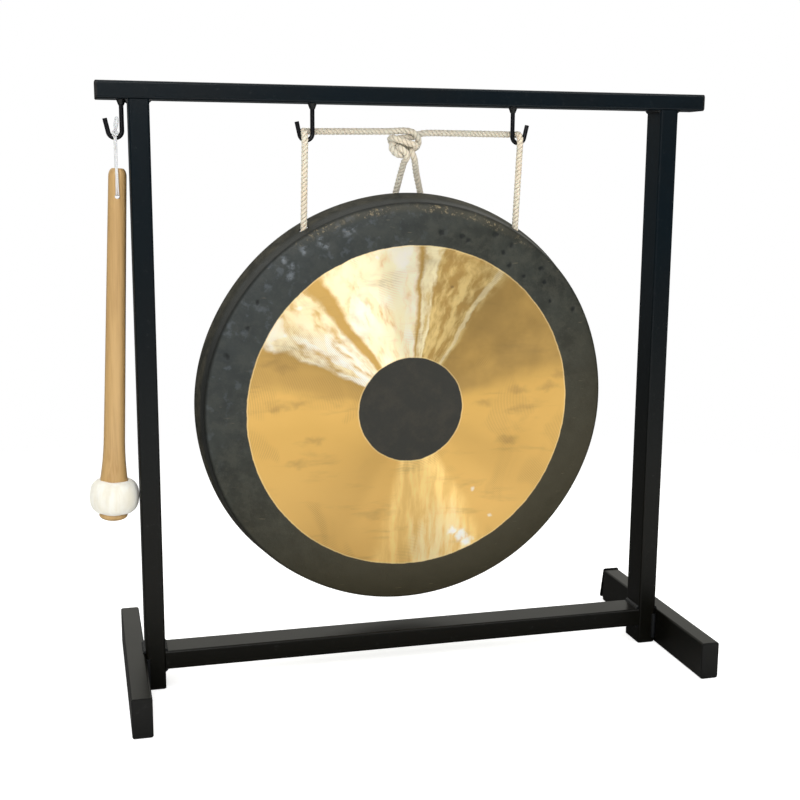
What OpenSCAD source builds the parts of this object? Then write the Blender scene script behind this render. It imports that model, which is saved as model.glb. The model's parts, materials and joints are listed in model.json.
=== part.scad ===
// Tam tam gong hung by one rope from a welded tube stand, with its mallet on a side hook.
// Millimetres, +Z up, the player stands on the -Y side. The origin is on the floor, at the
// centre of the whole outline; the stand's own middle is mid_x to the right of it.

/* [Stand] */
// Width across the outer faces of the uprights
frame_w = 575; // [480:1:700]
// Height from the floor to the top of the top bar
frame_h = 615.5; // [560:0.5:640]
// Length of the top bar with its end caps
bar_len = 636; // [620:1:760]
// Width of every tube seen from the front, except the top bar's height
tube_w = 20; // [18:1:25]
// Front-to-back depth of the uprights, the crossbar and the top bar
tube_d = 35; // [30:1:45]
// Height of the top bar
bar_h = 17; // [15:1:20]
// Height of the crossbar's underside above the floor
crossbar_z = 21; // [10:1:22]
// Length of a foot with its end caps
foot_len = 257; // [200:1:320]
// Height of a foot
foot_h = 40; // [30:1:45]
// Wall of the tubes
tube_wall = 1.5; // [1:0.1:2]
// Outer corner radius of the tubes
corner_r = 2.4; // [2.2:0.1:3]
// Thickness of a cap's visible flange
cap_t = 2; // [1.5:0.1:3]

/* [Hooks] */
// Diameter of the bent rod
rod_d = 4.5; // [4:0.1:4.8]
// Distance of each gong hook from the stand's middle, to the centre of its bend
hook_x = 113; // [105:1:118]
// Distance of the mallet hook from the stand's middle, to the centre of its bend
mallet_hook_x = 300; // [299:0.5:301]
// Bend radius at the rod's centreline
bend_r = 6.6; // [6.5:0.1:6.8]
// Drop from the top bar to the centre of the bend
hook_drop = 29.5; // [28:0.5:31]
// Outward lean of the hook's tip, in degrees
tip_angle = 12.6; // [5:0.1:15]
// Straight length of the tip
tip_len = 13.5; // [10:0.5:14]

/* [Gong] */
// Outer diameter at the back edge of the rim
gong_d = 450; // [440:1:452]
// Depth from the flat face to the rim's back edge
rim_depth = 41; // [38:1:43]
// Thickness of the bronze
gong_wall = 2; // [1.6:0.1:2.2]
// Height of the gong's centre above the floor
gong_z = 283; // [282:0.5:285]
// The gong hangs this far left of the stand's middle
gong_left = 2.5; // [0:0.5:3]
// Lean of the hanging gong, top towards the player, in degrees
gong_lean = 4.7; // [4:0.1:5.5]

/* [Rope] */
// Diameter of the cotton rope
rope_d = 7; // [6:0.1:7]
// Bend radius of the rope's centreline over a hook
rope_bend = 7; // [7:0.1:7.5]
// Diameter of the holes in the gong's rim
rope_hole_d = 10; // [9.6:0.1:11]

/* [Mallet] */
// Length of the wooden handle from its rounded top to the tip below the head
mallet_len = 353; // [352:1:354]
// Diameter of the handle just above the flare of its head
handle_d = 21; // [20:0.5:22]
// Diameter of the handle at its top
handle_top_d = 17.6; // [17:0.2:20]
// Largest diameter of the felt head
head_d = 51; // [46:0.5:51]
// Height of the felt head
head_h = 34; // [33:0.5:39]
// Diameter of the hanging cord
cord_d = 1.6; // [1.2:0.1:1.8]
// Lean of the mallet at rest, because its head leans on the upright, in degrees
mallet_lean = 2.6; // [2.6:0.1:3.2]

/* [Hidden] */
$fn = 64;

black_paint = [0.09, 0.10, 0.11];
cap_plastic = [0.05, 0.05, 0.05];
rope_cotton = [0.87, 0.83, 0.74];
brass_gold = [0.80, 0.62, 0.32];
wood = [0.83, 0.64, 0.40];
white_felt = [0.92, 0.92, 0.91];

bar_bottom = frame_h - bar_h;
hook_z = bar_bottom - hook_drop;
rod_z = hook_z - bend_r;
rope_r = rope_d / 2;

// Mallet: heights are measured from its hanging hole, downwards negative
hole_to_top = 27;
head_top = -284.5;
tip_z = hole_to_top - mallet_len;
cord_hole_r = 2.5;
mallet_hole_z = 506.5;
head_mid = -296.94;

// The mallet's head reaches past the top bar, so the outline's centre is left of the stand's middle
mallet_reach = mallet_hook_x - head_mid * sin(mallet_lean) + head_d / 2;
mid_x = (mallet_reach - bar_len / 2) / 2;
upright_x = frame_w / 2 - tube_w / 2;
foot_x = frame_w / 2 + tube_w / 2;

// Gong: the centre lies where the leaning rim's holes meet the rope's front strands
hole_depth = 13.5;
rope_y = -rope_bend;
flat_r = 176;
shoulder_r = 147;
shoulder_edge = gong_d / 2 - 9.8;
corner_bend = 5;
shoulder_slope = asin((shoulder_edge - flat_r) / shoulder_r);
shoulder_depth = shoulder_r * (1 - cos(shoulder_slope));
corner_c = [shoulder_edge - corner_bend * sin(shoulder_slope), shoulder_depth + corner_bend * cos(shoulder_slope)];
rim_flare = 11;
rim_start = corner_c + corner_bend * [cos(rim_flare), -sin(rim_flare)];
hole_r_at = rim_start[0] + (hole_depth - rim_start[1]) * tan(rim_flare);
hole_up = sqrt(pow(hole_r_at, 2) - pow(hook_x, 2));
gong_y = rope_y + hole_up * sin(gong_lean) - hole_depth * cos(gong_lean);
rope_low_z = 456.5;
rope_low_bend = 8;

// Weld cones of the hooks
hook_weld_h = 5.5;
hook_weld_d = 9.5;

// ---- shared shapes ----

// Rounded rectangle, centred
module rounded_rect(w, d, r) {
    square([w - 2 * r, d], center = true);
    square([w, d - 2 * r], center = true);
    for (x = [-1, 1], y = [-1, 1])
        translate([x * (w / 2 - r), y * (d / 2 - r)]) circle(r);
}

// Upright length of rectangular tube, from z = 0
module tube(w, d, length) {
    linear_extrude(length)
        difference() {
            rounded_rect(w, d, corner_r);
            rounded_rect(w - 2 * tube_wall, d - 2 * tube_wall, corner_r - tube_wall);
        }
}

// Plastic cap for the end of a tube that stops at z = 0: flange above, hollow plug below
module end_cap(w, d) {
    plug_depth = 10;
    plug_play = 0.1;
    plug_wall = 1.6;
    edge = 0.6;
    plug_w = w - 2 * tube_wall - plug_play;
    plug_d = d - 2 * tube_wall - plug_play;
    color(cap_plastic) {
        linear_extrude(cap_t - edge) rounded_rect(w, d, corner_r);
        translate([0, 0, cap_t - edge])
            linear_extrude(edge) rounded_rect(w - 2 * edge, d - 2 * edge, corner_r);
        translate([0, 0, -plug_depth])
            linear_extrude(plug_depth)
                difference() {
                    rounded_rect(plug_w, plug_d, 0.8);
                    square([plug_w - 2 * plug_wall, plug_d - 2 * plug_wall], center = true);
                }
    }
}

// Round rod between two points
module rod(p, q, d) {
    v = q - p;
    flat = norm([v[0], v[1]]);
    translate(p)
        rotate([0, atan2(flat, v[2]), atan2(v[1], v[0])])
            cylinder(h = norm(v), d = d);
}

// Rod along a list of points, with round elbows a little thicker than the rod
module bent_rod(points, d) {
    elbow = 1.05 * d;
    for (i = [0:len(points) - 2]) rod(points[i], points[i + 1], d);
    for (i = [1:len(points) - 2]) translate(points[i]) sphere(d = elbow);
}

// Quarter or other part of a round bend in the XZ plane, centred, from angle a0 over sweep degrees
module bend(radius, d, a0, sweep) {
    rotate([90, 0, 0])
        rotate([0, 0, a0])
            rotate_extrude(angle = sweep) translate([radius, 0]) circle(d = d);
}

// Points of an arc in a profile: centre, radius, start and end angle, number of steps
function arc(c, r, a0, a1, steps) =
    [for (i = [0:steps]) let (a = a0 + (a1 - a0) * i / steps) c + r * [cos(a), sin(a)]];

// ---- stand ----

module top_bar() {
    color(black_paint)
        translate([mid_x - bar_len / 2 + cap_t, 0, frame_h - bar_h / 2])
            rotate([0, 90, 0]) tube(bar_h, tube_d, bar_len - 2 * cap_t);
}

module upright(side) {
    color(black_paint)
        translate([mid_x + side * upright_x, 0, cap_t])
            tube(tube_w, tube_d, bar_bottom - cap_t);
}

module lower_crossbar() {
    length = frame_w - 2 * tube_w;
    color(black_paint)
        translate([mid_x - length / 2, 0, crossbar_z + tube_w / 2])
            rotate([0, 90, 0]) tube(tube_w, tube_d, length);
}

module foot(side) {
    color(black_paint)
        translate([mid_x + side * foot_x, foot_len / 2 - cap_t, foot_h / 2])
            rotate([90, 0, 0]) tube(tube_w, foot_h, foot_len - 2 * cap_t);
}

module top_bar_cap(side) {
    translate([mid_x + side * (bar_len / 2 - cap_t), 0, frame_h - bar_h / 2])
        rotate([0, side * 90, 0]) end_cap(bar_h, tube_d);
}

module upright_cap(side) {
    translate([mid_x + side * upright_x, 0, cap_t])
        rotate([180, 0, 0]) end_cap(tube_w, tube_d);
}

// end is -1 at the player's side and 1 at the back
module foot_cap(side, end) {
    translate([mid_x + side * foot_x, end * (foot_len / 2 - cap_t), foot_h / 2])
        rotate([-end * 90, 0, 0]) end_cap(tube_w, foot_h);
}

// Outline of an upright, for cutting the weld beads that lie against it
module upright_core(side) {
    translate([mid_x + side * upright_x, 0, 0])
        linear_extrude(bar_bottom) rounded_rect(tube_w, tube_d, corner_r);
}

// Triangular weld bead of the given length along +Y, its two legs along +X and +Z
module bead(leg, length) {
    rotate([90, 0, 0])
        translate([0, 0, -length])
            linear_extrude(length) polygon([[0, 0], [leg, 0], [leg * 0.62, leg * 0.62], [0, leg]]);
}

module frame_welds() {
    leg = 3;
    flat_d = tube_d - 2 * corner_r;
    inner_x = frame_w / 2 - tube_w;
    color(black_paint) {
        for (side = [-1, 1]) {
            // under the top bar, on both sides of the upright, with room for the mallet hook's weld
            for (face = [-1, 1])
                difference() {
                    translate([mid_x + side * upright_x + face * tube_w / 2, -flat_d / 2, bar_bottom])
                        mirror([face < 0 ? 1 : 0, 0, 0]) mirror([0, 0, 1]) bead(leg, flat_d);
                    translate([mid_x - mallet_hook_x + bend_r, 0, bar_bottom - 2 * hook_weld_h])
                        cylinder(h = 2 * hook_weld_h, d = hook_weld_d + 0.2);
                }
            // above and below the crossbar
            translate([mid_x + side * inner_x, -flat_d / 2, crossbar_z + tube_w])
                mirror([side > 0 ? 1 : 0, 0, 0]) bead(leg, flat_d);
            translate([mid_x + side * inner_x, -flat_d / 2, crossbar_z])
                mirror([side > 0 ? 1 : 0, 0, 0]) mirror([0, 0, 1]) bead(leg, flat_d);
            // on top of the foot, against the upright
            translate([mid_x + side * frame_w / 2, -flat_d / 2, foot_h])
                mirror([side < 0 ? 1 : 0, 0, 0]) bead(leg, flat_d);
            // upright corners against the foot's inner face, front and back
            for (end = [-1, 1])
                difference() {
                    translate([mid_x + side * (frame_w / 2 - 1.6), end * (tube_d / 2 - 0.4), 6])
                        cylinder(h = foot_h - 12, r = 2.6);
                    upright_core(side);
                    translate([mid_x + side * (frame_w / 2 + tube_w / 2), end * tube_d / 2, foot_h / 2])
                        cube([tube_w, tube_d, foot_h + 2], center = true);
                }
        }
    }
}

// ---- hooks ----

// Bent rod that opens towards +X, with the centre of its bend at the origin
module hook_shape() {
    rod([-bend_r, 0, 0], [-bend_r, 0, hook_drop], rod_d);
    bend(bend_r, rod_d, 180, 180 - tip_angle);
    translate([bend_r * cos(tip_angle), 0, -bend_r * sin(tip_angle)])
        rotate([0, tip_angle, 0]) cylinder(h = tip_len, d = rod_d);
}

// side is the way the hook opens
module hook(x, side) {
    color(black_paint)
        translate([mid_x + x, 0, hook_z])
            mirror([side < 0 ? 1 : 0, 0, 0]) hook_shape();
}

module hook_welds() {
    color(black_paint)
        for (place = [[-hook_x, -1], [hook_x, 1], [-mallet_hook_x, -1]])
            translate([mid_x + place[0] - place[1] * bend_r, 0, bar_bottom - hook_weld_h])
                difference() {
                    cylinder(h = hook_weld_h, d1 = rod_d + 0.8, d2 = hook_weld_d);
                    translate([0, 0, -1]) cylinder(h = hook_weld_h + 2, d = rod_d);
                }
}

// ---- gong and its rope ----

// Front strand, turn over the hook and start of the back strand, on one side
module rope_side(side) {
    over_z = rod_z + rope_bend + 2;
    turn = 5.5;
    turn_y = 2.5;
    x = mid_x + side * hook_x;
    rod([x, rope_y, rope_low_z + rope_low_bend], [x, rope_y, over_z - rope_bend], rope_d);
    translate([x, 0, over_z - rope_bend])
        rotate([0, 0, 90]) bend(rope_bend, rope_d, 90, 90);
    rod([x, 0, over_z], [x, turn_y, over_z], rope_d);
    translate([x - side * turn, turn_y, over_z])
        rotate([-90, 0, 0]) mirror([side < 0 ? 1 : 0, 0, 0]) bend(turn, rope_d, 0, 90);
    rod([x - side * turn, turn_y + turn, over_z], [mid_x, turn_y + turn, over_z], rope_d);
    translate([x - side * rope_low_bend, rope_y, rope_low_z + rope_low_bend])
        mirror([side < 0 ? 1 : 0, 0, 0]) bend(rope_low_bend, rope_d, 270, 90);
    rod([x - side * rope_low_bend, rope_y, rope_low_z], [mid_x, rope_y, rope_low_z], rope_d);
}

module hanging_rope() {
    knot = [mid_x - 9, 9, 561];
    knot_r = 13;
    knot_half = 4.8;
    color(rope_cotton) {
        rope_side(-1);
        rope_side(1);
        rod(knot - [knot_half, 0, 0], knot + [knot_half, 0, 0], 2 * knot_r);
        for (end = [-knot_half, knot_half]) translate(knot + [end, 0, 0]) sphere(knot_r);
        bent_rod([knot + [1, 3, -10], [mid_x - 13, 25, 513], [mid_x - 17, 28, 470]], rope_d);
        bent_rod([knot + [10, 3, -10], [mid_x + 12, 25, 513], [mid_x + 15, 28, 467]], rope_d);
    }
}

// Half section of the gong, radius against depth behind the face
function gong_skin(inset) = concat(
    [[0, inset]],
    arc([flat_r, shoulder_r], shoulder_r - inset, -90, shoulder_slope - 90, 8),
    arc(corner_c, corner_bend - inset, shoulder_slope - 90 + 8, -rim_flare, 8),
    [rim_start + [(rim_depth - rim_start[1]) * tan(rim_flare), rim_depth - rim_start[1]]
        - [inset / cos(rim_flare), 0]]);

module gong() {
    front = gong_skin(0);
    back = gong_skin(gong_wall);
    count = len(back);
    color(brass_gold)
        translate([mid_x - gong_left, gong_y, gong_z])
            rotate([-90 + gong_lean, 0, 0])
                difference() {
                    rotate_extrude($fn = 96)
                        polygon(concat(front, [for (i = [1:count]) back[count - i]]));
                    for (x = [-hook_x, hook_x])
                        translate([x + gong_left, -gong_d / 2 - 10, hole_depth])
                            rotate([-90, 0, 0]) cylinder(h = 70, d = rope_hole_d);
                }
}

// ---- mallet ----

// Places a mallet piece drawn upright around its hanging hole
module mallet_place() {
    translate([mid_x - mallet_hook_x, 0, mallet_hole_z])
        rotate([0, mallet_lean, 0]) children();
}

handle_r = handle_d / 2;
handle_top_r = handle_top_d / 2;
flare_r = 13.8;
core_r = 9;
tip_r = 14.2;
head_bottom = head_top - head_h;
// The felt clears the flare above it and the knob below it by seat_play
flare_end_z = head_top - 0.5;
knob_z = head_bottom + 0.5;
seat_play = 0.1;
felt_top_z = flare_end_z - seat_play;
felt_bottom_z = knob_z + seat_play;
felt_t = 3;

module mallet_handle() {
    dome = 8;
    top_flat_r = 4.5;
    flare_len = 46;
    top_edge = arc([0, hole_to_top - dome], 1, 90, 0, 10);
    flare = [for (i = [0:8]) let (s = i / 8)
        [handle_r + (flare_r - handle_r) * s * s, head_top + flare_len * (1 - s)]];
    tip_edge = arc([0, head_bottom - 2], 1, 0, -90, 8);
    color(wood)
        mallet_place()
            difference() {
                rotate_extrude()
                    polygon(concat(
                        [[0, hole_to_top]],
                        [for (p = top_edge)
                            [top_flat_r + p[0] * (handle_top_r - top_flat_r),
                                (p[1] - hole_to_top + dome) * dome + hole_to_top - dome]],
                        flare,
                        [[flare_r, flare_end_z], [core_r, flare_end_z], [core_r, knob_z], [tip_r, knob_z]],
                        [for (p = tip_edge)
                            [p[0] * tip_r, head_bottom - 2 + (p[1] - head_bottom + 2)
                                * (head_bottom - 2 - tip_z)]]));
                rotate([90, 0, 0]) cylinder(h = 3 * handle_d, r = cord_hole_r, center = true);
            }
}

// Barrel profile of the head, taken in by inset from the felt's outside
function head_profile(inset) =
    let (r = head_d / 2 - inset, z0 = felt_bottom_z + inset, z1 = felt_top_z - inset)
    [for (i = [0:12]) let (s = i / 12, a = 180 * s)
        [r * (0.62 + 0.38 * pow(sin(a), 0.6)), z0 + (z1 - z0) * s]];

module mallet_padding() {
    color(white_felt)
        mallet_place()
            rotate_extrude()
                polygon(concat([[core_r, felt_bottom_z + felt_t]], head_profile(felt_t),
                    [[core_r, felt_top_z - felt_t]]));
}

module mallet_felt() {
    outer = head_profile(0);
    inner = head_profile(felt_t);
    count = len(inner);
    color(white_felt)
        mallet_place()
            rotate_extrude()
                polygon(concat([[core_r, felt_bottom_z]], outer, [[core_r, felt_top_z]],
                    [[core_r, felt_top_z - felt_t]], [for (i = [1:count]) inner[count - i]],
                    [[core_r, felt_bottom_z + felt_t]]));
}

module mallet_cord() {
    cord_r = cord_d / 2;
    wrap = rod_d / 2 + cord_r + 0.2;
    leg_y = handle_top_r + cord_r + 0.7;
    shoulder_z = hole_to_top - 3;
    through_z = cord_hole_r - cord_r - 0.1;
    rod_up = rod_z - mallet_hole_z;
    straight = 3;
    leg_points = [[wrap, rod_up], [wrap, rod_up - straight], [leg_y, shoulder_z], [leg_y, through_z]];
    last = len(leg_points);
    color(white_felt)
        translate([mid_x - mallet_hook_x, 0, mallet_hole_z]) {
            translate([0, 0, rod_up])
                rotate([0, 0, 90]) bend(wrap, cord_d, 0, 180);
            bent_rod(concat(
                [for (p = leg_points) [0, -p[0], p[1]]],
                [for (i = [1:last]) [0, leg_points[last - i][0], leg_points[last - i][1]]]), cord_d);
        }
}

top_bar();
upright(-1);  // left_upright
upright(1);  // right_upright
lower_crossbar();
foot(-1);  // left_foot
foot(1);  // right_foot
top_bar_cap(-1);  // top_bar_cap_left
top_bar_cap(1);  // top_bar_cap_right
upright_cap(-1);  // left_upright_cap
upright_cap(1);  // right_upright_cap
foot_cap(-1, -1);  // left_foot_front_cap
foot_cap(-1, 1);  // left_foot_rear_cap
foot_cap(1, -1);  // right_foot_front_cap
foot_cap(1, 1);  // right_foot_rear_cap
frame_welds();
hook(-hook_x, -1);  // gong_hook_left
hook(hook_x, 1);  // gong_hook_right
hook(-mallet_hook_x, -1);  // mallet_hook
hook_welds();
hanging_rope();
gong();
mallet_cord();
mallet_handle();
mallet_padding();
mallet_felt();
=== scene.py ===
"""Looks of the tam tam gong on its welded stand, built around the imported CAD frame.

Metres in the frame's axes: +Z up, the player stands on the -Y side. Each section makes one family of
pieces. Places and sizes come from the CAD boxes, joints and faces; the rest are named values in millimetres.
"""

import json
import math

import bmesh
import bpy
import numpy as np
from mathutils import Matrix, Vector


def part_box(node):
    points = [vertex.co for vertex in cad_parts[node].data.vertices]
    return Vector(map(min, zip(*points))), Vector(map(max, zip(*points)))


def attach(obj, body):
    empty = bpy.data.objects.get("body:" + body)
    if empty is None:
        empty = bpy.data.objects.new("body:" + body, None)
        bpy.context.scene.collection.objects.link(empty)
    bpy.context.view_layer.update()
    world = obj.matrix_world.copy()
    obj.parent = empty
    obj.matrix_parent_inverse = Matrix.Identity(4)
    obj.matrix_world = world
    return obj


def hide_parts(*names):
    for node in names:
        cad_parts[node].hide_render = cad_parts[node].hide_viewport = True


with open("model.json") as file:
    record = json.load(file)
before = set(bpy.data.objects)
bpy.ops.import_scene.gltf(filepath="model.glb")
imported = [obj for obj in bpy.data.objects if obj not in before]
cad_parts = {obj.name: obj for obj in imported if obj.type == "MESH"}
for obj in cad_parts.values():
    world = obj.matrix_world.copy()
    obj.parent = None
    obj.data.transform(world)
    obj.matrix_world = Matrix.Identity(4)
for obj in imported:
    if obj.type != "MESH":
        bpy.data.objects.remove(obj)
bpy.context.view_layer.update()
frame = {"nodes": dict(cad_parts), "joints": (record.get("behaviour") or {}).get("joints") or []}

MM = 0.001
NODES = frame["nodes"]
JOINTS = {joint["name"]: joint for joint in frame["joints"]}
SCENE = bpy.context.scene


# ---------------------------------------------------------------- mesh helpers

def link_mesh(name, points, faces, smooth=True):
    """A new object from points in millimetres and faces as tuples of point numbers."""
    mesh = bpy.data.meshes.new(name)
    mesh.from_pydata((np.asarray(points, float) * MM).tolist(), [], faces)
    mesh.update()
    if smooth:
        mesh.shade_smooth()
    obj = bpy.data.objects.new(name, mesh)
    SCENE.collection.objects.link(obj)
    return obj


def grid_faces(rows, columns, start=0, flip=False, close_rows=False):
    """Quads of a grid whose rows are closed rings; close_rows also joins the last row to the first."""
    faces = []
    for i in range(rows if close_rows else rows - 1):
        below = start + i * columns
        above = start + ((i + 1) % rows) * columns
        for j in range(columns):
            k = (j + 1) % columns
            quad = (below + j, below + k, above + k, above + j)
            faces.append(quad[::-1] if flip else quad)
    return faces


def apply_modifiers(obj):
    """Turns the object's modifiers into plain mesh."""
    depsgraph = bpy.context.evaluated_depsgraph_get()
    mesh = bpy.data.meshes.new_from_object(obj.evaluated_get(depsgraph))
    obj.modifiers.clear()
    obj.data = mesh


def value_noise(angle, seed, waves, lowest, highest):
    """Smooth wobble over a full turn, about -1 to 1, made of whole-numbered waves."""
    draw = np.random.default_rng(seed)
    total = np.zeros_like(angle)
    for _ in range(waves):
        count = draw.integers(lowest, highest + 1)
        total += np.cos(count * angle + draw.uniform(0, 2 * math.pi))
    return total / math.sqrt(waves)


# ---------------------------------------------------------------- sweeps: rope and cord

def resample(path, step):
    """The same line with points at an even spacing."""
    lengths = np.linalg.norm(np.diff(path, axis=0), axis=1)
    along = np.concatenate([[0], np.cumsum(lengths)])
    count = max(4, int(round(along[-1] / step)))
    even = np.linspace(0, along[-1], count + 1)
    return np.stack([np.interp(even, along, path[:, k]) for k in range(3)], axis=1)


def soften(path, rounds):
    """Rounds off the corners of a line, its ends kept."""
    path = path.copy()
    for _ in range(rounds):
        path[1:-1] += 0.5 * (0.5 * (path[:-2] + path[2:]) - path[1:-1])
    return path


def arc_points(centre, start, end, steps=10):
    """Points of the short round turn about centre, from start to end."""
    centre = np.asarray(centre, float)
    a = np.asarray(start, float) - centre
    b = np.asarray(end, float) - centre
    turn = math.acos(np.clip(np.dot(a, b) / np.linalg.norm(a) / np.linalg.norm(b), -1, 1))
    share = np.linspace(0, 1, steps + 1)[:, None]
    return centre + (np.sin((1 - share) * turn) * a + np.sin(share * turn) * b) / math.sin(turn)


def sweep(name, path, radius, strands, lay, around=36, valley=0.24, closed=False):
    """A twisted rope along path: a lobed outline, one lobe to a strand, turns once per lay of length.

    Its points carry two values for the material: strand (1 on a strand, 0 where two meet) and along (mm).
    """
    path = np.asarray(path, float)
    count = len(path)
    if closed:
        tangent = np.roll(path, -1, axis=0) - np.roll(path, 1, axis=0)
    else:
        tangent = np.gradient(path, axis=0)
    tangent /= np.linalg.norm(tangent, axis=1)[:, None]
    unlike_any_path = [0.31, 0.87, 0.38]
    side = np.cross(tangent[0], unlike_any_path)
    sides = []
    for t in tangent:
        side = side - t * np.dot(side, t)
        side = side / np.linalg.norm(side)
        sides.append(side)
    sides = np.array(sides)
    other = np.cross(tangent, sides)
    steps = np.linalg.norm(np.diff(path, axis=0), axis=1)
    along = np.concatenate([[0], np.cumsum(steps)])
    phi = np.linspace(0, 2 * math.pi, around, endpoint=False)
    lobe = np.abs(np.cos(strands * phi / 2)) ** 0.55
    outline = radius * (1 - valley + valley * lobe)
    twist = 2 * math.pi * along / lay
    if closed:
        carried = sides[-1] - tangent[0] * np.dot(sides[-1], tangent[0])
        miss = math.atan2(np.dot(carried, other[0]), np.dot(carried, sides[0]))
        whole = round((twist[-1] + miss) * strands / (2 * math.pi)) * 2 * math.pi / strands
        twist = twist * (whole - miss) / twist[-1]
    angle = phi[None, :] + twist[:, None]
    points = (path[:, None, :]
              + (outline * np.cos(angle))[:, :, None] * sides[:, None, :]
              + (outline * np.sin(angle))[:, :, None] * other[:, None, :])
    points = points.reshape(-1, 3)
    faces = grid_faces(count, around, close_rows=closed)
    if not closed:
        points = np.vstack([points, path[0], path[-1]])
        last = (count - 1) * around
        for j in range(around):
            k = (j + 1) % around
            faces.append((len(points) - 2, k, j))
            faces.append((len(points) - 1, last + j, last + k))
    obj = link_mesh(name, points, faces)
    end_points = 0 if closed else 2
    values = {"strand": np.concatenate([np.tile(lobe, count), np.ones(end_points)]),
              "along": np.concatenate([np.repeat(along, around), np.zeros(end_points)])}
    for key, value in values.items():
        attribute = obj.data.attributes.new(key, "FLOAT", "POINT")
        attribute.data.foreach_set("value", value.astype(np.float32))
    return obj


# ---------------------------------------------------------------- material helper

class Nodes:
    """A node tree under construction. Each method adds nodes and returns an output socket."""

    def __init__(self, tree):
        self.tree = tree

    def add(self, kind, inputs=None, **settings):
        node = self.tree.nodes.new("ShaderNode" + kind)
        for key, value in settings.items():
            setattr(node, key, value)
        for key, value in (inputs or {}).items():
            self.plug(node.inputs[key], value)
        return node

    def plug(self, socket, value):
        if isinstance(value, bpy.types.NodeSocket):
            self.tree.links.new(value, socket)
        else:
            socket.default_value = value

    def math(self, operation, a, b=0.0, c=0.0):
        return self.add("Math", {0: a, 1: b, 2: c}, operation=operation).outputs[0]

    def times(self, *factors):
        product = factors[0]
        for factor in factors[1:]:
            product = self.math("MULTIPLY", product, factor)
        return product

    def scaled(self, value, factor, offset):
        return self.math("MULTIPLY_ADD", value, factor, offset)

    def inverse(self, value):
        """0 where value is 1, and 1 where it is 0."""
        return self.math("SUBTRACT", 1.0, value)

    def most(self, a, b):
        return self.math("MAXIMUM", a, b)

    def between(self, value, low, high):
        """0 below low, 1 above high, smooth in between."""
        inputs = {"Value": value, "From Min": low, "From Max": high}
        return self.add("MapRange", inputs, interpolation_type="SMOOTHSTEP").outputs["Result"]

    def mix(self, share, a, b):
        """Colour a where share is 0, b where it is 1."""
        return self.add("Mix", {0: share, 6: a, 7: b}, data_type="RGBA").outputs[2]

    def layer(self, base, colour, *shares):
        """Lays colour over base, as thickly as the product of the shares."""
        return self.mix(self.times(*shares), base, colour)


class Finish(Nodes):
    """A material under construction; place holds the object's own coordinates in metres."""

    def __init__(self, name):
        self.material = bpy.data.materials.new(name)
        self.material.use_nodes = True
        super().__init__(self.material.node_tree)
        self.shader = self.tree.nodes["Principled BSDF"]
        self.place = self.add("TexCoord").outputs["Object"]

    def noise(self, scale, detail=3.0, roughness=0.5, vector=None, distortion=0.0):
        inputs = {"Vector": vector or self.place, "Scale": scale, "Detail": detail,
                  "Roughness": roughness, "Distortion": distortion}
        return self.add("TexNoise", inputs).outputs["Fac"]

    def patches(self, low, high, *noise, **options):
        """Patches of 1 where the noise is above high, fading to 0 where it is below low."""
        return self.between(self.noise(*noise, **options), low, high)

    def stretched(self, scale):
        """The object's own coordinates, stretched by a factor along each axis."""
        return self.add("Mapping", {"Vector": self.place, "Scale": scale}).outputs["Vector"]

    def attribute(self, name):
        return self.add("Attribute", attribute_name=name).outputs["Fac"]

    def sector(self, angle, start, end, soft):
        """1 between two angles in degrees (-180 to 180), falling to 0 over `soft` degrees on either side."""
        rise = self.between(angle, math.radians(start - soft), math.radians(start))
        fall = self.between(angle, math.radians(end), math.radians(end + soft))
        return self.math("SUBTRACT", rise, fall)

    def spots(self, marks, size, stretch=1.0, core=0.4):
        """1 inside ragged spots of radius `size` (mm) at the given places of the gong's face, 0 elsewhere.

        stretch widens them sideways; core is the share of the radius that is fully inside.
        """
        raggedness = 2.2 * size * MM
        uneven = self.add("TexNoise", {"Vector": self.place, "Scale": 90.0, "Detail": 3.0}).outputs["Color"]
        shift = self.add("VectorMath", {0: uneven, 1: (0.5, 0.5, 0.5)}, operation="SUBTRACT").outputs[0]
        inputs = {0: shift, 1: (raggedness,) * 3, 2: self.place}
        place = self.add("VectorMath", inputs, operation="MULTIPLY_ADD").outputs[0]
        flat = self.add("Mapping", {"Vector": place, "Scale": (1 / stretch, 1, 0)}).outputs[0]
        total = 0.0
        for mark in marks:
            x, y = on_disc(mark)
            centre = (x * MM / stretch, y * MM, 0)
            away = self.add("VectorMath", {0: flat, 1: centre}, operation="DISTANCE").outputs["Value"]
            total = self.most(self.inverse(self.between(away, core * size * MM, size * MM)), total)
        return total

    def bump(self, height, depth_mm, before=None):
        inputs = {"Height": height, "Distance": depth_mm * MM, "Strength": 1.0}
        if before is not None:
            inputs["Normal"] = before
        return self.add("Bump", inputs).outputs["Normal"]

    def surface(self, **values):
        """Sets the shader's inputs; an underscore stands for a space."""
        for key, value in values.items():
            self.plug(self.shader.inputs[key.replace("_", " ")], value)
        return self.material


def grey(level):
    return (level, level, level, 1.0)


def dress(obj, material):
    """Gives obj one material."""
    obj.data.materials.clear()
    obj.data.materials.append(material)


# ---------------------------------------------------------------- gong: shape

# The gong's section in millimetres, and how many steps its turn has
GONG_TURNS = 720
RIM_FLARE = math.radians(11)
SHOULDER_R = 147.0
CORNER_R = 5.0
WALL = 2.0
GOLD_R = 175.4
CENTRE_R = 56.8


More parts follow.
